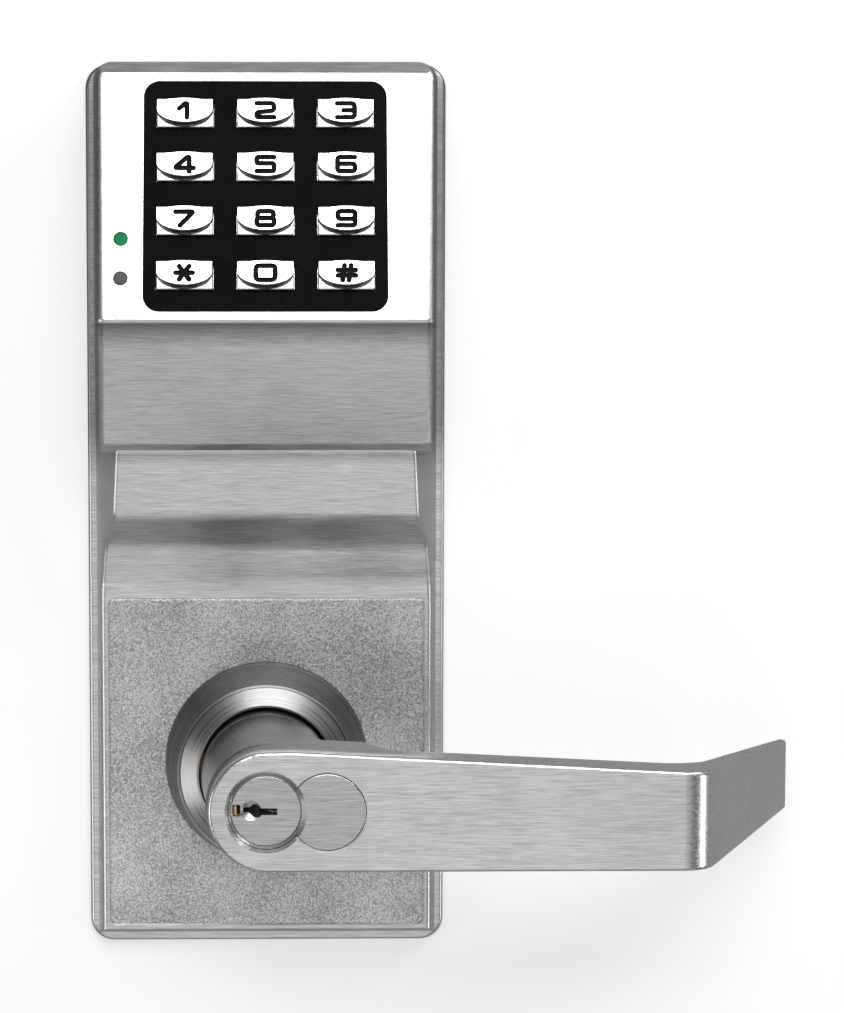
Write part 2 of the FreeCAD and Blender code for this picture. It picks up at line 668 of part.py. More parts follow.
# ---- write every piece ----
def pieces():
    made = {
        "front_housing": front_housing(), "door_gasket": door_gasket(), "rear_plate": rear_plate(),
        "rear_plate_screws": rear_plate_screws(), "through_bolt_posts": through_bolt_posts(),
        "upper_bolt_post": upper_bolt_post(), "cable_grommet": cable_grommet(),
        "chassis_barrel": chassis_barrel(), "return_spring": return_spring(),
        "rose_collar": rose_collar(), "collar_nut": collar_nut(), "lever_bushing": lever_bushing(),
        "lever": lever(), "lever_snap_ring": lever_snap_ring(), "spring_cam": spring_cam(),
        "core_shell": core_shell(), "core_plug": core_plug(),
        "core_key_pins": pin_row(PIN_R, 2.6, 4.2), "core_driver_pins": pin_row(PIN_R, 6.1, 9.2),
        "core_pin_springs": core_pin_springs(), "core_chamber_caps": pin_row(PIN_R + 0.1, 15.6, 17.8),
        "core_control_sleeve": core_control_sleeve(), "core_throw_member": core_throw_member(),
        "spindle": spindle(), "spindle_snap_ring": spindle_snap_ring(), "clutch_pin": clutch_pin(),
        "locking_slide": locking_slide(), "lead_screw": lead_screw(), "gear_motor": gear_motor(),
        "motor_bracket": motor_bracket(), "motor_bracket_screws": motor_bracket_screws(),
        "keypad_bezel": keypad_bezel(), "keypad_membrane": keypad_membrane(),
        "keypad_board": keypad_board(), "keypad_board_screws": keypad_board_screws(),
        "status_light_upper": status_light(LIGHT_V[0]), "status_light_lower": status_light(LIGHT_V[1]),
        "status_leds": status_leds(), "buzzer": buzzer(), "harness_socket": harness_socket()}
    for name, u, v in key_places():
        made["key_" + name] = key_body(u, v)
    return made


os.makedirs("parts", exist_ok=True)
for node, shape in pieces().items():
    shape.exportStep("parts/%s.step" % node)
    print(node, len(shape.Solids), round(shape.Volume, 2), shape.isValid())
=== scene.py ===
"""Looks of the keypad lever lock, built round its CAD model. Metres, in the CAD model's frame."""
import math
import json

import bmesh
import bpy
from mathutils import Matrix, Vector, noise


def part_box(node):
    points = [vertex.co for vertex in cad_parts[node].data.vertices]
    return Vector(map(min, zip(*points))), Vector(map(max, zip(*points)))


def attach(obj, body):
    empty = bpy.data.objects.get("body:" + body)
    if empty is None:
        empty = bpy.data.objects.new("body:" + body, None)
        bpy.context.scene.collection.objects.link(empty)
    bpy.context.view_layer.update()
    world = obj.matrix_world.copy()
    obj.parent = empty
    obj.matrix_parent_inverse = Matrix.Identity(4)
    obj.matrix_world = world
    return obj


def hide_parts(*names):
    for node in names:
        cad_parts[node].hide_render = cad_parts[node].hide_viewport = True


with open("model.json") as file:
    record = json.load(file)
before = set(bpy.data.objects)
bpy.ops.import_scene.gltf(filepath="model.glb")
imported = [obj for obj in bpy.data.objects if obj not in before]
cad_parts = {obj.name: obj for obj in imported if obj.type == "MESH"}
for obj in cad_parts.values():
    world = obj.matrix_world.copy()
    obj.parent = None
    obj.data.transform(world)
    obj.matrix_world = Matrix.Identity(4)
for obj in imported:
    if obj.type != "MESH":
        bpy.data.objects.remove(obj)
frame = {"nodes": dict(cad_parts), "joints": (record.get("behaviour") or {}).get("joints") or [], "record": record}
bpy.context.scene.view_settings.view_transform = "Standard"
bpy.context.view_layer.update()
NODES = frame["nodes"]
MM = 0.001

# ---- the viewpoint ----
CAMERA_AT = (1.8 * MM, -560 * MM, 100.1 * MM)
CAMERA_TURN = math.radians(0.93)
CAMERA_DIP = math.radians(4.68)
CAMERA_LENS = 92.8
CAMERA_SHIFT = 0.1036


def link(thing):
    bpy.context.scene.collection.objects.link(thing)
    return thing


def grey(value, warm=0.0):
    return (value + warm, value, value - warm)


# ---- shader helpers ----
class Shader:
    """A material under construction: short calls that add and join nodes."""

    def __init__(self, name):
        self.material = bpy.data.materials.new(name)
        self.material.use_nodes = True
        self.tree = self.material.node_tree
        self.tree.nodes.clear()
        self.output = self.add("ShaderNodeOutputMaterial")
        self.surface = self.add("ShaderNodeBsdfPrincipled")
        self.join(self.surface.outputs["BSDF"], self.output.inputs["Surface"])
        self.place = self.add("ShaderNodeTexCoord").outputs["Object"]

    def add(self, kind, **settings):
        node = self.tree.nodes.new(kind)
        for key, value in settings.items():
            setattr(node, key, value)
        return node

    def join(self, source, target):
        self.tree.links.new(source, target)

    def set(self, **values):
        """Uniform values straight onto the shader's sockets."""
        for key, value in values.items():
            self.surface.inputs[key.capitalize()].default_value = value

    def stretch(self, scale):
        node = self.add("ShaderNodeMapping")
        node.inputs["Scale"].default_value = scale
        self.join(self.place, node.inputs["Vector"])
        return node.outputs["Vector"]

    def noise(self, scale, detail=3.0, stretch=(1, 1, 1), rough=0.5):
        node = self.add("ShaderNodeTexNoise")
        node.inputs["Scale"].default_value = scale
        node.inputs["Detail"].default_value = detail
        node.inputs["Roughness"].default_value = rough
        self.join(self.stretch(stretch), node.inputs["Vector"])
        return node.outputs["Fac"]

    def ramp(self, value, low, high, out_low, out_high):
        """The value's stretch from low to high, spread from out_low to out_high and held there beyond."""
        node = self.add("ShaderNodeMapRange")
        node.inputs["From Min"].default_value = low
        node.inputs["From Max"].default_value = high
        node.inputs["To Min"].default_value = out_low
        node.inputs["To Max"].default_value = out_high
        self.join(value, node.inputs["Value"])
        return node.outputs["Result"]

    def band(self, value, start, full, hold, end):
        """Rises to 1 between start and full, and falls back to 0 between hold and end."""
        return self.math("MULTIPLY", self.ramp(value, start, full, 0, 1), self.ramp(value, hold, end, 1, 0))

    def math(self, operation, a, b=0.0):
        node = self.add("ShaderNodeMath", operation=operation)
        for socket, value in zip(node.inputs, (a, b)):
            if isinstance(value, (int, float)):
                socket.default_value = value
            else:
                self.join(value, socket)
        return node.outputs["Value"]

    def blend(self, *shares):
        """Sum of values, each times its share."""
        total = 0.0
        for value, share in shares:
            total = self.math("ADD", total, self.math("MULTIPLY", value, share))
        return total

    def tint(self, value, dark, light):
        node = self.add("ShaderNodeMix", data_type="RGBA")
        node.inputs["A"].default_value = (*dark, 1)
        node.inputs["B"].default_value = (*light, 1)
        self.join(value, node.inputs["Factor"])
        return node.outputs["Result"]

    def shade(self, tone, amount):
        """The colour darkened by a number from 0 to 1."""
        node = self.add("ShaderNodeVectorMath", operation="SCALE")
        self.join(tone, node.inputs[0])
        self.join(amount, node.inputs["Scale"])
        return node.outputs["Vector"]

    def parts(self):
        """X, Y and Z of the point in the CAD model's frame."""
        node = self.add("ShaderNodeSeparateXYZ")
        self.join(self.place, node.inputs["Vector"])
        return [node.outputs[axis] for axis in "XYZ"]

    def colour(self, value, dark, light):
        self.join(self.tint(value, dark, light), self.surface.inputs["Base Color"])

    def roughness(self, value):
        self.join(value, self.surface.inputs["Roughness"])

    def bump(self, height, strength, distance):
        node = self.add("ShaderNodeBump")
        node.inputs["Strength"].default_value = strength
        node.inputs["Distance"].default_value = distance
        self.join(height, node.inputs["Height"])
        self.join(node.outputs["Normal"], self.surface.inputs["Normal"])


def brushed(name, dark, light, rough=(0.26, 0.42), shading=None, along=(210, 6200, 6200)):
    """Satin plated metal with fine scratches stretched along one axis."""
    s = Shader(name)
    s.set(metallic=1.0)
    lines = s.noise(1.0, 3.0, along, 0.6)
    streaks = s.noise(1.0, 2.0, tuple(value * 0.5 for value in along), 0.5)
    cloud = s.noise(38.0, 3.0)
    blend = s.blend((lines, 0.62), (streaks, 0.23), (cloud, 0.15))
    tone = s.tint(s.ramp(blend, 0.36, 0.64, 0, 1), dark, light)
    if shading:
        tone = s.shade(tone, shading(s))
    s.join(tone, s.surface.inputs["Base Color"])
    s.roughness(s.ramp(blend, 0.36, 0.64, *rough))
    s.bump(lines, 0.2, 0.02 * MM)
    return s.material


# Where the hub's shading starts and stops, by depth and along the lever, and the brightness left in it.
HUB_BEHIND = (-60.5 * MM, -58.5 * MM)
HUB_BESIDE = (26 * MM, 34 * MM)
HUB_LEFT = 0.3


def hub_shade(s):
    """The lever is made darker on its hub and neck, behind its front and near its axis, than on its bar."""
    x, y, _ = s.parts()
    behind = s.ramp(y, *HUB_BEHIND, 0, 1)
    beside = s.ramp(x, *HUB_BESIDE, 1, 0)
    return s.ramp(s.math("MULTIPLY", behind, beside), 0, 1, 1, HUB_LEFT)


# Heights of the housing's painted shadow bands, under the lip and in the crease at the block's foot: where each
# starts, is full, starts to fade and ends.
LIP_BAND = (89 * MM, 93.7 * MM, 93.9 * MM, 94.3 * MM)
FOOT_BAND = (64.5 * MM, 66.6 * MM, 66.7 * MM, 67.6 * MM)
# Where its other painted shade starts and stops: by height, by distance from the middle and by depth.
FLANK_RISE = (60 * MM, 72 * MM)
FLANK_OUT = (34.6 * MM, 35.4 * MM)
BLOCK_PROUD = (-13 * MM, -8 * MM)
# The brightness that each painted shade takes away.
LIP_DARK = 0.7
FOOT_DARK = 0.38
FLANK_DARK = 0.55
BESIDE_DARK = 0.5


def housing_painted_shade(s):
    """Painted shade: a shadow band under the lip, shade in the crease at the block's foot, and darker flanks and
    flange beside the block where less light falls.
    """
    x, y, z = s.parts()
    normal = s.add("ShaderNodeSeparateXYZ")
    s.join(s.add("ShaderNodeNewGeometry").outputs["Normal"], normal.inputs["Vector"])
    flank = s.ramp(s.math("ABSOLUTE", normal.outputs["X"]), 0.3, 0.7, 0, FLANK_DARK)
    beside = s.ramp(s.math("ABSOLUTE", x), *FLANK_OUT, 0, BESIDE_DARK)
    flank = s.math("MULTIPLY", s.math("MAXIMUM", flank, beside), s.ramp(z, *FLANK_RISE, 0, 1))
    proud = s.ramp(y, *BLOCK_PROUD, 1, 0)
    lip = s.math("MULTIPLY", s.band(z, *LIP_BAND), LIP_DARK)
    foot = s.math("MULTIPLY", s.band(z, *FOOT_BAND), FOOT_DARK)
    bands = s.math("MAXIMUM", lip, foot)
    return s.math("SUBTRACT", 1.0, s.math("MAXIMUM", s.math("MULTIPLY", bands, proud), flank))


def stippled(name, dark, light):
    """Sandy cast texture of the lower panel, with painted shade darkening it towards the top."""
    s = Shader(name)
    s.set(metallic=1.0)
    grain = s.noise(3900.0, 2.0)
    flecks = s.noise(2000.0, 2.0)
    cloud = s.noise(60.0, 2.0)
    blend = s.blend((grain, 0.55), (flecks, 0.3), (cloud, 0.15))
    tone = s.tint(s.ramp(blend, 0.41, 0.59, 0, 1), dark, light)
    # Painted shade: the panel is darkened towards its top.
    painted_shade_up = s.ramp(s.parts()[2], -35 * MM, 35 * MM, 1, 0.76)
    s.join(s.shade(tone, painted_shade_up), s.surface.inputs["Base Color"])
    s.roughness(s.ramp(grain, 0.35, 0.65, 0.38, 0.52))
    s.bump(blend, 0.4, 0.08 * MM)
    return s.material


def turned(name, dark, light):
    """Metal faced on a lathe: rings about the lever's axis, with painted shade darkening its top."""
    s = Shader(name)
    s.set(metallic=1.0)
    s.surface.inputs["Specular Tint"].default_value = (*grey(0.45), 1)
    x, _, z = s.parts()
    radius = s.math("SQRT", s.math("ADD", s.math("MULTIPLY", x, x), s.math("MULTIPLY", z, z)))
    rings = s.add("ShaderNodeTexNoise", noise_dimensions="1D")
    rings.inputs["Scale"].default_value = 3400.0
    rings.inputs["Detail"].default_value = 3.0
    s.join(radius, rings.inputs["W"])
    cuts = rings.outputs["Fac"]
    tone = s.tint(s.ramp(cuts, 0.3, 0.7, 0, 1), dark, light)
    # Painted shade: the collar is darkened towards its top.
    painted_shade_up = s.ramp(z, -6 * MM, 13 * MM, 1, 0.38)
    s.join(s.shade(tone, painted_shade_up), s.surface.inputs["Base Color"])
    s.roughness(s.ramp(cuts, 0.3, 0.7, 0.24, 0.38))
    s.bump(cuts, 0.12, 0.02 * MM)
    return s.material


def moulded(name, dark, light, rough=(0.4, 0.55), grain=1400.0, metallic=0.0, strength=0.2, shine=0.5):
    """Moulded or cast surface with a fine even grain."""
    s = Shader(name)
    s.set(metallic=metallic)
    s.surface.inputs["Specular IOR Level"].default_value = shine
    grains = s.noise(grain, 3.0)
    cloud = s.noise(90.0, 3.0)
    s.colour(s.ramp(cloud, 0.3, 0.7, 0, 1), dark, light)
    s.roughness(s.ramp(grains, 0.3, 0.7, *rough))
    s.bump(grains, strength, 0.04 * MM)
    return s.material


# Slot name: maker, dark and light colour, roughness, then for brushed its shading and the scale of its
# scratches, and for moulded its grain, metallic, relief and shine.
LOOKS = {
    "satin_housing": (brushed, grey(0.52), grey(0.90), (0.30, 0.42), housing_painted_shade),
    "satin_panel": (stippled, grey(0.30), grey(1.0)),
    "satin_collar": (turned, grey(0.42), grey(0.58)),
    "satin_lever": (brushed, grey(0.56), grey(0.94), (0.24, 0.36), hub_shade),
    "core_metal": (brushed, grey(0.42), grey(0.74), (0.26, 0.38)),
    "key_metal": (moulded, grey(0.86), grey(0.93), (0.24, 0.32), 700.0, 1.0, 0.06),
    # Painted shade: a darker copy of the key metal on the pads' side walls, standing for the black bezel they
    # reflect.
    "key_side": (moulded, grey(0.22), grey(0.32), (0.3, 0.42), 700.0, 1.0, 0.1),
    # Painted shade: near black standing for the dark that the keys' bare metal grooves reflect; the keyway's
    # painted shadow sheet uses it too.
    "key_ink": (moulded, grey(0.003), grey(0.008), (0.5, 0.62), 1500.0, 0.0, 0.3, 0.1),
    "plated_steel": (brushed, grey(0.48, 0.01), grey(0.62, 0.01), (0.3, 0.45), None, (2600, 2600, 200)),
    "spring_steel": (brushed, grey(0.22), grey(0.36), (0.3, 0.5), None, (1500, 1500, 1500)),
    "motor_can": (brushed, grey(0.5), grey(0.64), (0.3, 0.45), None, (6200, 210, 6200)),
    "zinc_chassis": (moulded, grey(0.42), grey(0.52), (0.42, 0.58), 900.0, 1.0, 0.3),
    "brass": (moulded, (0.66, 0.45, 0.17), (0.80, 0.58, 0.26), (0.25, 0.4), 900.0, 1.0, 0.1),
    "bronze": (moulded, (0.40, 0.22, 0.10), (0.52, 0.30, 0.15), (0.35, 0.5), 900.0, 1.0, 0.2),
    "black_plastic": (moulded, grey(0.0015), grey(0.003), (0.5, 0.62), 1400.0, 0.0, 0.2, 0.05),
    "black_moulding": (moulded, grey(0.015), grey(0.025)),
    "white_moulding": (moulded, (0.66, 0.64, 0.58), (0.74, 0.72, 0.66)),
    "board_green": (moulded, (0.01, 0.11, 0.04), (0.02, 0.16, 0.06), (0.25, 0.4), 300.0),
    "led_white": (moulded, (0.8, 0.8, 0.7), (0.88, 0.88, 0.8)),
    "green_lens": (moulded, (0.0, 0.10, 0.03), (0.0, 0.32, 0.10), (0.35, 0.5), 2600.0, 0.0, 0.3, 0.12),
    "dark_lens": (moulded, grey(0.05), grey(0.11), (0.35, 0.5), 2600.0, 0.0, 0.3, 0.15),
    "black_rubber": (moulded, grey(0.012), grey(0.022), (0.6, 0.75), 2000.0, 0.0, 0.4),
    "grey_rubber": (moulded, grey(0.20), grey(0.26), (0.6, 0.75), 1500.0, 0.0, 0.4),
}
MATERIALS = {name: maker(name, *values) for name, (maker, *values) in LOOKS.items()}
SLOT_OF = {row["node"]: row["material_slot"] for row in frame["record"]["subparts"]}


def dress_nodes():
    """Every CAD node gets its slot's finished material."""
    for name, node in NODES.items():
        node.data.materials.clear()
        node.data.materials.append(MATERIALS[SLOT_OF[name]])


# ---- keys with engraved symbols ----
KEY_HALF = (5.675 * MM, 2.95 * MM)
PAD_TOP = 2.5 * MM
PAD_FOOT = 0.7 * MM
PAD_WIDE = 5.6 * MM
GROOVE_R = 0.56 * MM
GROOVE_LIFT = PAD_TOP + 0.05 * MM
BALL_SWELL = 1.002
RIM_OUT = 0.6 * MM
RIM_BACK = -3.4 * MM
RIM_FRONT = -2.8 * MM
BASE_CORNER = 0.3 * MM
BASE_EDGE = 0.22 * MM
# How far the pad's outline has grown at each height, and that height, both in millimetres.
PAD_STEPS = [(0.42, 0.4), (0.42, 0.8), (0.34, 1.0), (0.22, 1.2), (0.1, 2.1), (0.0, 2.38), (-0.12, 2.5)]
# The pad's outline: its flat head with a low arch, and the centre and reach of its round foot.
HEAD_V = 2.28 * MM
ARCH_HALF = 3.6 * MM
ARCH_RISE = 0.3 * MM
ROUND_V = 0.25 * MM
ROUND_REACH = 2.68 * MM
SIDE_INSET = 0.05 * MM
HEAD_STEPS = 16
ROUND_STEPS = 32
EDGE_STEPS = 3
PATH_STEPS = 5
NEARLY_STRAIGHT = math.radians(88)
# Strokes in millimetres from the key's centre: corners, the radius that rounds them, and closed or not.
W = 1.75
H = 1.45
GLYPHS = {
    "1": [([(-1.1, 0.35), (0.0, 1.4), (0.45, 1.4), (0.45, -1.5)], 0.1, False)],
    "2": [([(-W, H), (W, H), (W, -0.05), (-W, -0.45), (-W, -H), (W, -H)], 0.65, False)],
    "3": [([(-W, H), (W, H), (W, 0), (W, -H), (-W, -H)], 0.7, False), ([(-0.5, 0), (W, 0)], 0.1, False)],
    "4": [([(0.95, -1.55), (0.95, 1.4), (0.5, 1.4), (-W, -0.55), (-W, -0.8), (1.8, -0.8)], 0.15, False)],
    "5": [([(W, H), (-W, H), (-W, 0.15), (W, 0.15), (W, -H), (-W, -H)], 0.45, False)],
    "6": [([(W, H), (-W, H), (-W, -H), (W, -H), (W, 0.1), (-W, 0.1)], 0.6, False)],
    "7": [([(-W, 1.35), (1.85, 1.35), (-0.9, -1.5)], 0.2, False)],
    "8": [([(-1.6, H), (1.6, H), (1.6, 0.05), (-1.6, 0.05)], 0.6, True),
          ([(-W, 0.05), (W, 0.05), (W, -H), (-W, -H)], 0.65, True)],
    "9": [([(-W, -H), (W, -H), (W, H), (-W, H), (-W, -0.1), (W, -0.1)], 0.6, False)],
    "0": [([(-1.95, H), (1.95, H), (1.95, -H), (-1.95, -H)], 0.8, True)],
    "star": [([(-1.7, 0), (1.7, 0)], 0.1, False), ([(-1.0, -1.35), (1.0, 1.35)], 0.1, False),
             ([(-1.0, 1.35), (1.0, -1.35)], 0.1, False)],
    "hash": [([(-1.8, 0.55), (1.8, 0.55)], 0.1, False), ([(-1.8, -0.55), (1.8, -0.55)], 0.1, False),
             ([(-0.85, -1.5), (-0.45, 1.5)], 0.1, False), ([(0.45, -1.5), (0.85, 1.5)], 0.1, False)],
}


def rounded_path(corners, radius, closed):
    """Points along a path whose corners are rounded."""
    path = []
    count = len(corners)
    for i, corner in enumerate(corners):
        here = Vector(corner)
        if not closed and i in (0, count - 1):
            path.append(here)
            continue
        back = Vector(corners[i - 1]) - here
        ahead = Vector(corners[(i + 1) % count]) - here
        half = back.angle(ahead) / 2
        if half > NEARLY_STRAIGHT:
            path.append(here)
            continue
        reach = min(radius / math.tan(half), back.length * 0.49, ahead.length * 0.49)
        start = here + back.normalized() * reach
        end = here + ahead.normalized() * reach
        for k in range(PATH_STEPS + 1):
            t = k / PATH_STEPS
            path.append(start * (1 - t) ** 2 + here * 2 * t * (1 - t) + end * t ** 2)
    return path


def skin_loops(mesh, loops):
    """Closed skin through a stack of loops with the same number of points."""
    rings = [[mesh.verts.new(point) for point in loop] for loop in loops]
    count = len(rings[0])
    for low, high in zip(rings, rings[1:]):
        for i in range(count):
            j = (i + 1) % count
            mesh.faces.new((low[i], low[j], high[j], high[i]))
    mesh.faces.new(list(reversed(rings[0])))
    mesh.faces.new(rings[-1])


def level(outline, scale, w):
    """The outline scaled about its centre, at height w."""
    return [Vector((x * scale[0], y * scale[1], w)) for x, y in outline]


def key_base(mesh):
    """Plate under the pad, with a retaining rim at its back and a rounded front edge."""
    half_u, half_v = KEY_HALF
    box = [(-half_u, -half_v), (half_u, -half_v), (half_u, half_v), (-half_u, half_v)]
    outline = rounded_path(box, BASE_CORNER, True)
    rim = (1 + RIM_OUT / half_u, 1 + RIM_OUT / half_v)
    stack = [
        level(outline, rim, RIM_BACK),
        level(outline, rim, RIM_FRONT),
        level(outline, (1, 1), RIM_FRONT),
    ]
    for k in range(EDGE_STEPS + 1):
        turn = k / EDGE_STEPS * math.pi / 2
        pull = BASE_EDGE * (1 - math.cos(turn))
        scale = (1 - pull / half_u, 1 - pull / half_v)
        stack.append(level(outline, scale, PAD_FOOT - BASE_EDGE + BASE_EDGE * math.sin(turn)))
    skin_loops(mesh, stack)


def pad_outline(grow):
    """D shape: gently arched above, round below. It grows most at its foot and least at its sides."""
    head = HEAD_V + grow * 0.3
    reach = ROUND_REACH + grow * 1.2
    wide = PAD_WIDE - SIDE_INSET + grow * 0.15
    points = []
    for k in range(HEAD_STEPS + 1):
        u = wide * (2 * k / HEAD_STEPS - 1)
        arch = max(0.0, 1 - (u / ARCH_HALF) ** 2)
        points.append((-u, head + ARCH_RISE * arch))
    for k in range(ROUND_STEPS + 1):
        turn = math.pi + math.pi * k / ROUND_STEPS
        points.append((wide * math.cos(turn), ROUND_V + reach * math.sin(turn)))
    return points


def key_pad(name):
    """Raised pad with a rounded edge and the symbol cut into it."""
    mesh = bmesh.new()
    stack = []
    for grow, w in PAD_STEPS:
        stack.append([Vector((x, y, w * MM)) for x, y in pad_outline(grow * MM)])
    skin_loops(mesh, stack)
    bmesh.ops.recalc_face_normals(mesh, faces=mesh.faces)
    data = bpy.data.meshes.new("pad_" + name)
    mesh.to_mesh(data)
    mesh.free()
    data.materials.append(MATERIALS["key_metal"])
    data.materials.append(MATERIALS["key_side"])
    # Side walls take key_side, the darker copy of the key metal: painted shade.
    for face in data.polygons:
        if abs(face.normal.z) < 0.5:
            face.material_index = 1
    return bpy.data.objects.new("pad_" + name, data)


def settled_mesh(thing):
    """The object's mesh with its bevel or modifiers applied."""
    bpy.context.view_layer.update()
    ready = thing.evaluated_get(bpy.context.evaluated_depsgraph_get())
    return bpy.data.meshes.new_from_object(ready)


def groove_cutter(name, strokes):
    """Round bars along the symbol's strokes, with ball ends."""
    curve = bpy.data.curves.new("groove_" + name, "CURVE")
    curve.dimensions = "3D"
    curve.bevel_depth = GROOVE_R
    curve.bevel_resolution = 3
    curve.use_fill_caps = True
    ends = []
    for corners, radius, closed in strokes:
        path = [point * MM for point in rounded_path(corners, radius, closed)]
        spline = curve.splines.new("POLY")
        spline.points.add(len(path) - 1)
        for point, at in zip(spline.points, path):
            point.co = (at.x, at.y, GROOVE_LIFT, 1)
        spline.use_cyclic_u = closed
        if not closed:
            ends += [path[0], path[-1]]
    bars = link(bpy.data.objects.new("bars_" + name, curve))
    data = settled_mesh(bars)
    bpy.data.objects.remove(bars)
    mesh = bmesh.new()
    mesh.from_mesh(data)
    for end in ends:
        place = Matrix.Translation((end.x, end.y, GROOVE_LIFT))
        ball = GROOVE_R * BALL_SWELL
        bmesh.ops.create_uvsphere(mesh, u_segments=14, v_segments=9, radius=ball, matrix=place)
    mesh.to_mesh(data)
    mesh.free()
    # The groove walls take this near black: painted shade where bare metal grooves look dark.
    data.materials.clear()
    data.materials.append(MATERIALS["key_ink"])
    return bpy.data.objects.new("groove_" + name, data)


def key_place(node, out):
    """Matrix from a key's own frame (u across, v up the face, w out) to its place."""
    up = Vector((0, out.z, -out.y))
    points = [vertex.co for vertex in node.data.vertices]
    u = [point.x for point in points]
    v = [point.dot(up) for point in points]
    w = max(point.dot(out) for point in points) - PAD_TOP
    centre = Vector(((min(u) + max(u)) / 2, 0, 0)) + up * ((min(v) + max(v)) / 2) + out * w
    place = Matrix((Vector((1, 0, 0)), up, out)).transposed().to_4x4()
    place.translation = centre
    return place


def make_key(joint):
    """One key cap, which rides its key's body and stands for its CAD node."""
    name = joint["child"]
    symbol = name.split("_", 1)[1]
    out = -Vector(joint["axis"]).normalized()
    pad = key_pad(symbol)
    cutter = groove_cutter(symbol, GLYPHS[symbol])
    for piece in (pad, cutter):
        link(piece)
    cut = pad.modifiers.new("grooves", "BOOLEAN")
    cut.operation = "DIFFERENCE"
    cut.object = cutter
    cut.solver = "EXACT"
    cut.use_self = True
    cut.material_mode = "TRANSFER"
    shaped = settled_mesh(pad)
    for piece in (pad, cutter):
        bpy.data.objects.remove(piece)
    whole = bmesh.new()
    whole.from_mesh(shaped)
    key_base(whole)
    bmesh.ops.recalc_face_normals(whole, faces=whole.faces)
    whole.transform(key_place(NODES[name], out))
    for face in whole.faces:
        face.smooth = True
    whole.to_mesh(shaped)
    whole.free()
    shaped.name = "cap_" + symbol
    cap = link(bpy.data.objects.new("cap_" + symbol, shaped))
    shaped.set_sharp_from_angle(angle=math.radians(32))
    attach(cap, name)
    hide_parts(name)


# ---- the end of the keyway ----
SHARP_EDGE = 1.2
EDGE_BEVEL = 0.06 * MM
BIT_R = 0.32 * MM
BIT_LONG = 1.9 * MM
BIT_AT = Vector((-6.0, 0.45, 0.15)) * MM
# Size and place of the dark sheet behind the brass bit, a painted shadow in the keyway.
SHADOW_SHEET_SIZE = Vector((1.5, 0.2, 2.0)) * MM
SHADOW_SHEET_AT = Vector((-5.75, 0.95, 0.15)) * MM


def small_part(name, mesh, material, body):
    """Object from a finished bmesh, with a gentle bevel and smooth faces."""
    sharp = [edge for edge in mesh.edges if edge.calc_face_angle(0) > SHARP_EDGE]
    bmesh.ops.bevel(mesh, geom=sharp, offset=EDGE_BEVEL, segments=2, affect="EDGES")
    for face in mesh.faces:
        face.smooth = True
    data = bpy.data.meshes.new(name)
    mesh.to_mesh(data)
    mesh.free()
    data.materials.append(MATERIALS[material])
    data.set_sharp_from_angle(angle=math.radians(40))
    part = link(bpy.data.objects.new(name, data))
    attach(part, body)


def make_keyway_end():
    """Brass bit at the wide end of the keyway, and behind it a dark sheet: painted shadow in the keyway."""
    low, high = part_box("core_plug")
    place = Vector((0, low.y, (low.z + high.z) / 2))
    pin = bmesh.new()
    bmesh.ops.create_cone(pin, cap_ends=True, segments=24, radius1=BIT_R, radius2=BIT_R, depth=BIT_LONG)
    pin.transform(Matrix.Translation(place + BIT_AT))
    small_part("keyway_bit", pin, "brass", "core_plug")
    shadow_sheet = bmesh.new()
    bmesh.ops.create_cube(shadow_sheet, size=1.0)
    shadow_sheet.transform(Matrix.Diagonal((*SHADOW_SHEET_SIZE, 1)))
    shadow_sheet.transform(Matrix.Translation(place + SHADOW_SHEET_AT))
    small_part("keyway_painted_shadow", shadow_sheet, "key_ink", "core_plug")


# ---- sandy panel ----
PANEL_HALF = 33.75 * MM
PANEL_Z = (-35.35 * MM, 35.15 * MM)
PANEL_FLOOR = 6.6 * MM
PANEL_STEP = 0.36 * MM
PANEL_CORNER = 1.6 * MM
COLLAR_CLEAR = 19.0 * MM
GRAIN_RISE = 0.09 * MM
COARSE_GRAIN = (1150, 0.035)
FINE_GRAIN = (2300, 0.03)
WELD = 0.02 * MM


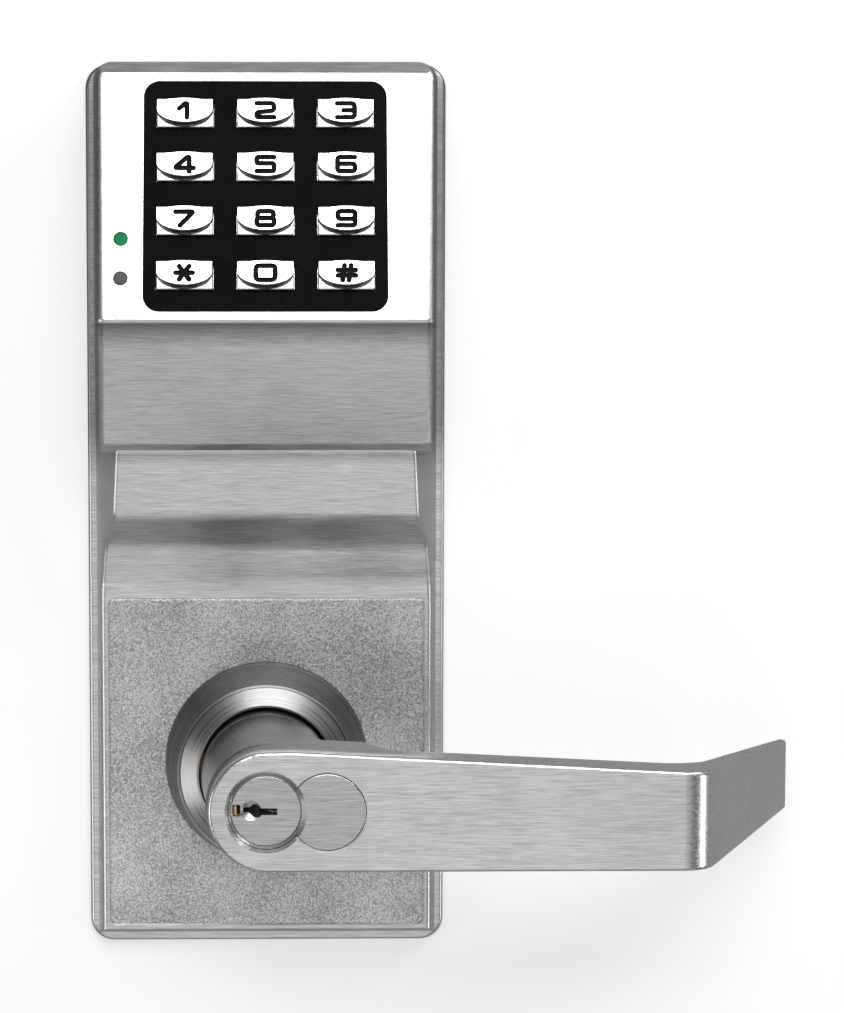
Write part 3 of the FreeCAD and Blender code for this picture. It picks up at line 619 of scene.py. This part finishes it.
def make_panel():
    """Cast skin of the lower panel, its grain in real relief, open behind the collar."""
    columns = round(2 * PANEL_HALF / PANEL_STEP)
    rows = round((PANEL_Z[1] - PANEL_Z[0]) / PANEL_STEP)
    mesh = bmesh.new()
    inner_x = PANEL_HALF - PANEL_CORNER
    grid = []
    for j in range(rows + 1):
        line = []
        for i in range(columns + 1):
            x = -PANEL_HALF + 2 * PANEL_HALF * i / columns
            z = PANEL_Z[0] + (PANEL_Z[1] - PANEL_Z[0]) * j / rows
            hub = Vector((min(max(x, -inner_x), inner_x),
                          min(max(z, PANEL_Z[0] + PANEL_CORNER), PANEL_Z[1] - PANEL_CORNER)))
            away = Vector((x, z)) - hub
            if away.length > PANEL_CORNER:
                x, z = hub + away.normalized() * PANEL_CORNER
            edge = i in (0, columns) or j in (0, rows)
            coarse = noise.noise(Vector((x, z, 0)) * COARSE_GRAIN[0]) * COARSE_GRAIN[1]
            fine = noise.noise(Vector((x, z, 0.01)) * FINE_GRAIN[0]) * FINE_GRAIN[1]
            rise = GRAIN_RISE + (coarse + fine) * MM
            line.append(mesh.verts.new((x, -(PANEL_FLOOR + (0 if edge else rise)), z)))
        grid.append(line)
    for j in range(rows):
        for i in range(columns):
            four = (grid[j][i], grid[j][i + 1], grid[j + 1][i + 1], grid[j + 1][i])
            middle = sum((vertex.co for vertex in four), Vector()) / 4
            if math.hypot(middle.x, middle.z) > COLLAR_CLEAR:
                mesh.faces.new(four).smooth = True
    bmesh.ops.remove_doubles(mesh, verts=mesh.verts, dist=WELD)
    bmesh.ops.delete(mesh, geom=[v for v in mesh.verts if not v.link_faces], context="VERTS")
    data = bpy.data.meshes.new("sandy_panel")
    mesh.to_mesh(data)
    mesh.free()
    data.materials.append(MATERIALS["satin_panel"])
    panel = link(bpy.data.objects.new("sandy_panel", data))
    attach(panel, "root")


# ---- stage ----
WALL_HALF = 1.6
WALL_BEHIND = 0.4 * MM
# The wall's glow and its tone, each as the part gets it and then as the camera sees it.
WALL_GLOW = (0.18, 0.54)
WALL_TONE = (0.12, 0.5)
# Name, place, aim, size and watts.
LIGHTS = [
    ("softbox", (0.06, -0.98, 0.72), (0, -0.02, 0.10), (0.72, 0.42), 7.0),
    ("right_key", (0.75, -0.45, 0.75), (0, 0, 0.05), (0.35, 0.35), 3.0),
    ("right_strip", (0.92, -0.42, -0.20), (0, 0, 0.02), (0.16, 0.6), 1.6),
    ("left_strip", (-0.86, -0.52, -0.18), (0, 0, 0.02), (0.34, 0.6), 1.8),
    ("back_fill", (-0.5, 0.9, 0.6), (0, 0, 0.05), (0.8, 0.8), 10.0),
]
# The world's brightness by height and across, each against a direction's coordinate from -1 to 1.
WORLD_HEIGHT = [
    (-1.0, 0.2), (-0.85, 0.66), (-0.5, 0.78), (-0.25, 0.82), (-0.08, 0.56), (0.1, 0.46), (0.25, 0.5),
    (0.45, 1.1), (0.64, 1.0), (0.76, 0.25), (1.0, 0.2),
]
WORLD_ACROSS = [
    (-1.0, 0.1), (-0.7, 0.1), (-0.42, 0.3), (-0.25, 0.95), (0.0, 1.0), (0.25, 0.95), (0.42, 0.3),
    (0.7, 0.1), (1.0, 0.1),
]


def make_backdrop():
    """White wall in the plane of the door's face; it is one-sided, so the back can be seen."""
    mesh = bpy.data.meshes.new("backdrop")
    sides = ((-1, -1), (1, -1), (1, 1), (-1, 1))
    corners = [(x * WALL_HALF, WALL_BEHIND, z * WALL_HALF) for x, z in sides]
    mesh.from_pydata(corners, [], [(0, 1, 2, 3)])
    wall = link(bpy.data.objects.new("backdrop", mesh))
    s = Shader("backdrop")
    s.set(roughness=0.95)
    s.surface.inputs["Specular IOR Level"].default_value = 0.0
    s.surface.inputs["Emission Color"].default_value = (1, 1, 1, 1)
    seen = s.add("ShaderNodeLightPath").outputs["Is Camera Ray"]
    s.colour(seen, grey(WALL_TONE[0]), grey(WALL_TONE[1]))
    s.join(s.ramp(seen, 0, 1, *WALL_GLOW), s.surface.inputs["Emission Strength"])
    clear = s.add("ShaderNodeBsdfTransparent")
    choose = s.add("ShaderNodeMixShader")
    s.join(s.add("ShaderNodeNewGeometry").outputs["Backfacing"], choose.inputs["Fac"])
    s.join(s.surface.outputs["BSDF"], choose.inputs[1])
    s.join(clear.outputs["BSDF"], choose.inputs[2])
    s.join(choose.outputs["Shader"], s.output.inputs["Surface"])
    mesh.materials.append(s.material)


def area_light(name, at, aim, size, power):
    data = bpy.data.lights.new(name, "AREA")
    data.shape = "RECTANGLE"
    data.size, data.size_y = size
    data.energy = power
    light = bpy.data.objects.new(name, data)
    light.location = at
    light.rotation_euler = (Vector(aim) - Vector(at)).to_track_quat("-Z", "Y").to_euler()
    link(light)


def make_world():
    """Studio surroundings, as a brightness by height times one across."""
    world = bpy.data.worlds.new("studio")
    bpy.context.scene.world = world
    world.use_nodes = True
    tree = world.node_tree
    tree.nodes.clear()
    parts = tree.nodes.new("ShaderNodeSeparateXYZ")
    tree.links.new(tree.nodes.new("ShaderNodeTexCoord").outputs["Generated"], parts.inputs["Vector"])
    height = world_ramp(tree, parts.outputs["Z"], WORLD_HEIGHT)
    across = world_ramp(tree, parts.outputs["X"], WORLD_ACROSS)
    both = tree.nodes.new("ShaderNodeMath")
    both.operation = "MULTIPLY"
    tree.links.new(height, both.inputs[0])
    tree.links.new(across, both.inputs[1])
    glow = tree.nodes.new("ShaderNodeBackground")
    glow.inputs["Color"].default_value = (1, 1, 1, 1)
    tree.links.new(both.outputs["Value"], glow.inputs["Strength"])
    out = tree.nodes.new("ShaderNodeOutputWorld")
    tree.links.new(glow.outputs["Background"], out.inputs["Surface"])


def world_ramp(tree, value, stops):
    """Brightness against one coordinate of the direction, from -1 to 1."""
    spread = tree.nodes.new("ShaderNodeMapRange")
    spread.inputs["From Min"].default_value = -1.0
    tree.links.new(value, spread.inputs["Value"])
    ramp = tree.nodes.new("ShaderNodeValToRGB")
    for _ in stops[2:]:
        ramp.color_ramp.elements.new(0.5)
    for element, (coordinate, brightness) in zip(ramp.color_ramp.elements, stops):
        element.position = (coordinate + 1) / 2
        element.color = (*grey(brightness), 1)
    tree.links.new(spread.outputs["Result"], ramp.inputs["Fac"])
    return ramp.outputs["Color"]


def make_camera():
    data = bpy.data.cameras.new("camera")
    data.lens = CAMERA_LENS
    data.sensor_width = 36.0
    data.shift_x = CAMERA_SHIFT
    data.clip_start = 0.01
    camera = link(bpy.data.objects.new("camera", data))
    camera.location = CAMERA_AT
    camera.rotation_euler = (math.pi / 2 - CAMERA_DIP, 0, -CAMERA_TURN)
    bpy.context.scene.camera = camera


dress_nodes()
for joint in frame["joints"]:
    if joint["child"].startswith("key_"):
        make_key(joint)
make_keyway_end()
make_panel()
make_backdrop()
for light in LIGHTS:
    area_light(*light)
make_world()
make_camera()
